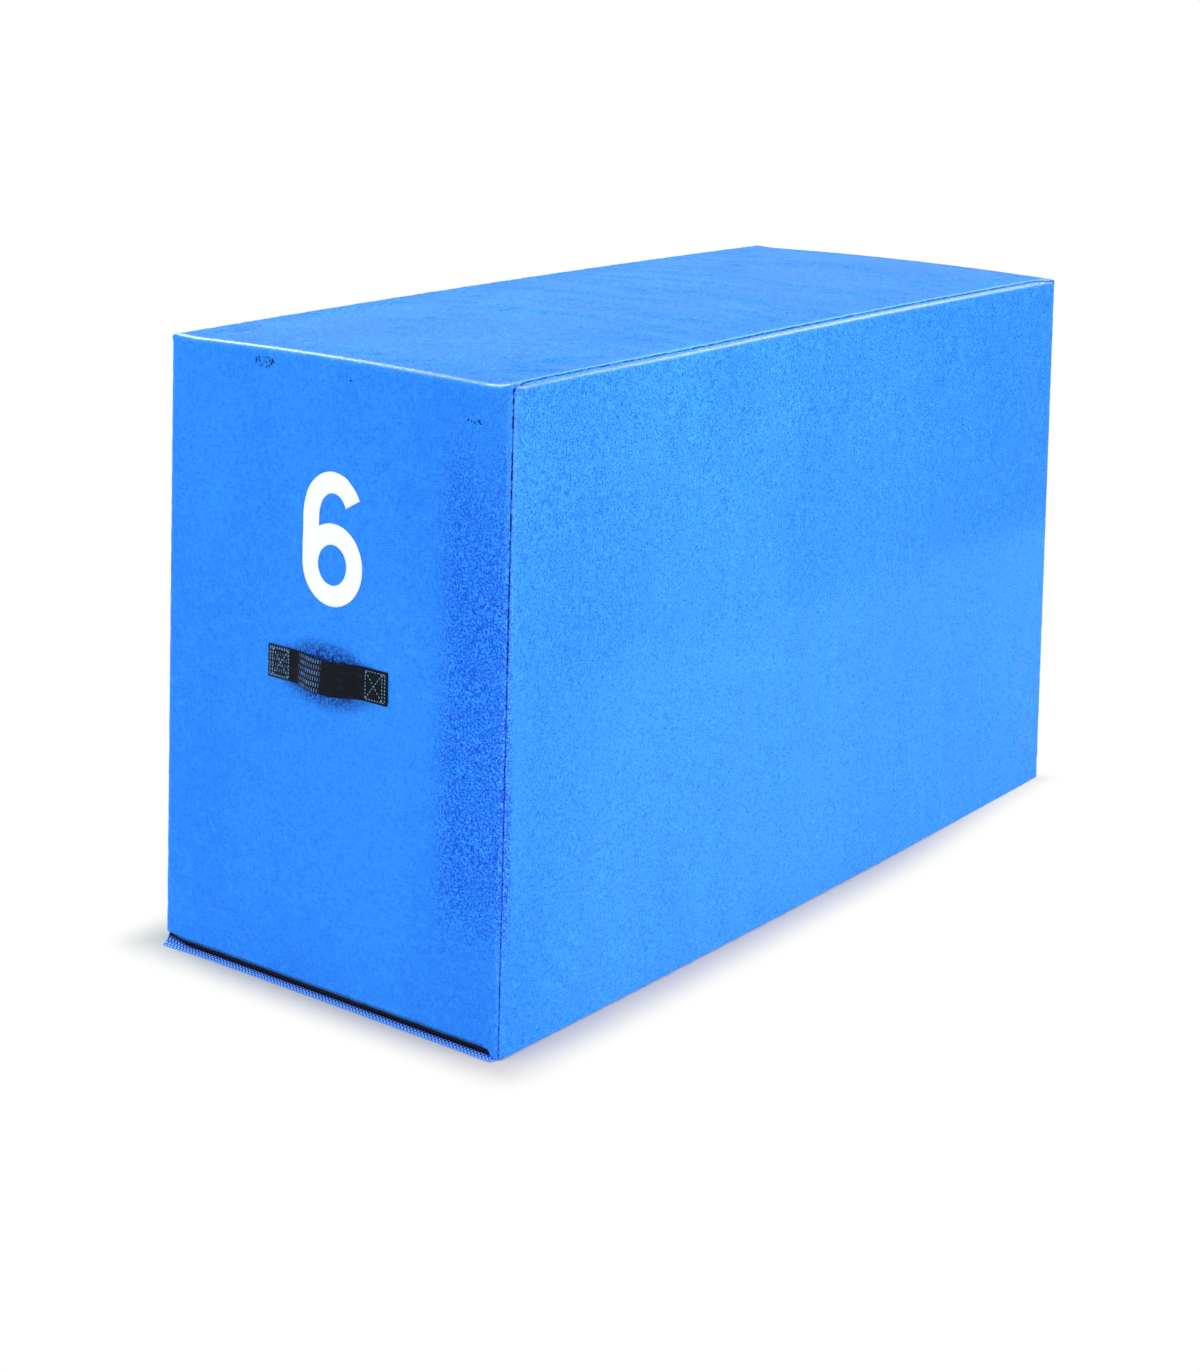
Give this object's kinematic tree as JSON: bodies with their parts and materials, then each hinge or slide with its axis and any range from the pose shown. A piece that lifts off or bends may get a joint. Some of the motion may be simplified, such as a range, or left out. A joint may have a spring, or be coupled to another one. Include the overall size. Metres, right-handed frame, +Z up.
{
  "type": "foam vaulting box",
  "caption": "Tall foam block in a sewn coated-fabric cover, with webbing carrying handles on its ends and a zip along its foot, for vaulting and climbing practice.",
  "frame": {"origin": "middle of the underside, on the floor", "axes": "+Z up; the front end, with its handle and number, faces -Y; the long side seen beside it faces +X"},
  "size_m": [0.6632, 1.5514, 0.911],
  "materials": {
    "soft_foam": "open-cell polyurethane foam",
    "firm_foam": "closed-cell foam sheet",
    "blue_cover": "smooth coated fabric, satin",
    "grip_underside": "matt grip-coated fabric",
    "pale_hem": "folded coated fabric, cloth side out",
    "zip_tape": "woven tape",
    "zip_teeth": "moulded plastic",
    "zip_metal": "satin metal",
    "black_webbing": "ribbed webbing",
    "backing_cloth": "coated fabric",
    "white_print": "screen print"
  },
  "bodies": {
    "box": {"foam_core_lower": "soft_foam", "foam_core_middle": "soft_foam", "foam_core_upper": "soft_foam", "foam_top_layer": "firm_foam", "cover_wrap": "blue_cover", "cover_side_right": "blue_cover", "cover_side_left": "blue_cover", "cover_base": "grip_underside", "base_hem": "pale_hem", "zip_tape_upper": "zip_tape", "zip_tape_lower": "zip_tape", "zip_teeth_upper": "zip_teeth", "zip_teeth_lower": "zip_teeth", "zip_stop_start": "zip_metal", "zip_stop_end": "zip_metal", "front_handle": "black_webbing", "back_handle": "black_webbing", "front_handle_backing": "backing_cloth", "back_handle_backing": "backing_cloth", "size_number": "white_print"},
    "slider": {"zip_slider": "zip_metal"},
    "pull": {"zip_pull": "zip_metal"}
  },
  "joints": [
    {"name": "zip_slide", "type": "slide", "parent": "box", "child": "slider", "axis": [0, -1, 0], "range_m": [0, 1.43]},
    {"name": "pull_swing", "type": "hinge", "parent": "slider", "child": "pull", "pos_m": [-0.32334, 0.69914, 0.0113], "axis": [0, 0, -1], "range_deg": [0, 175]}
  ]
}
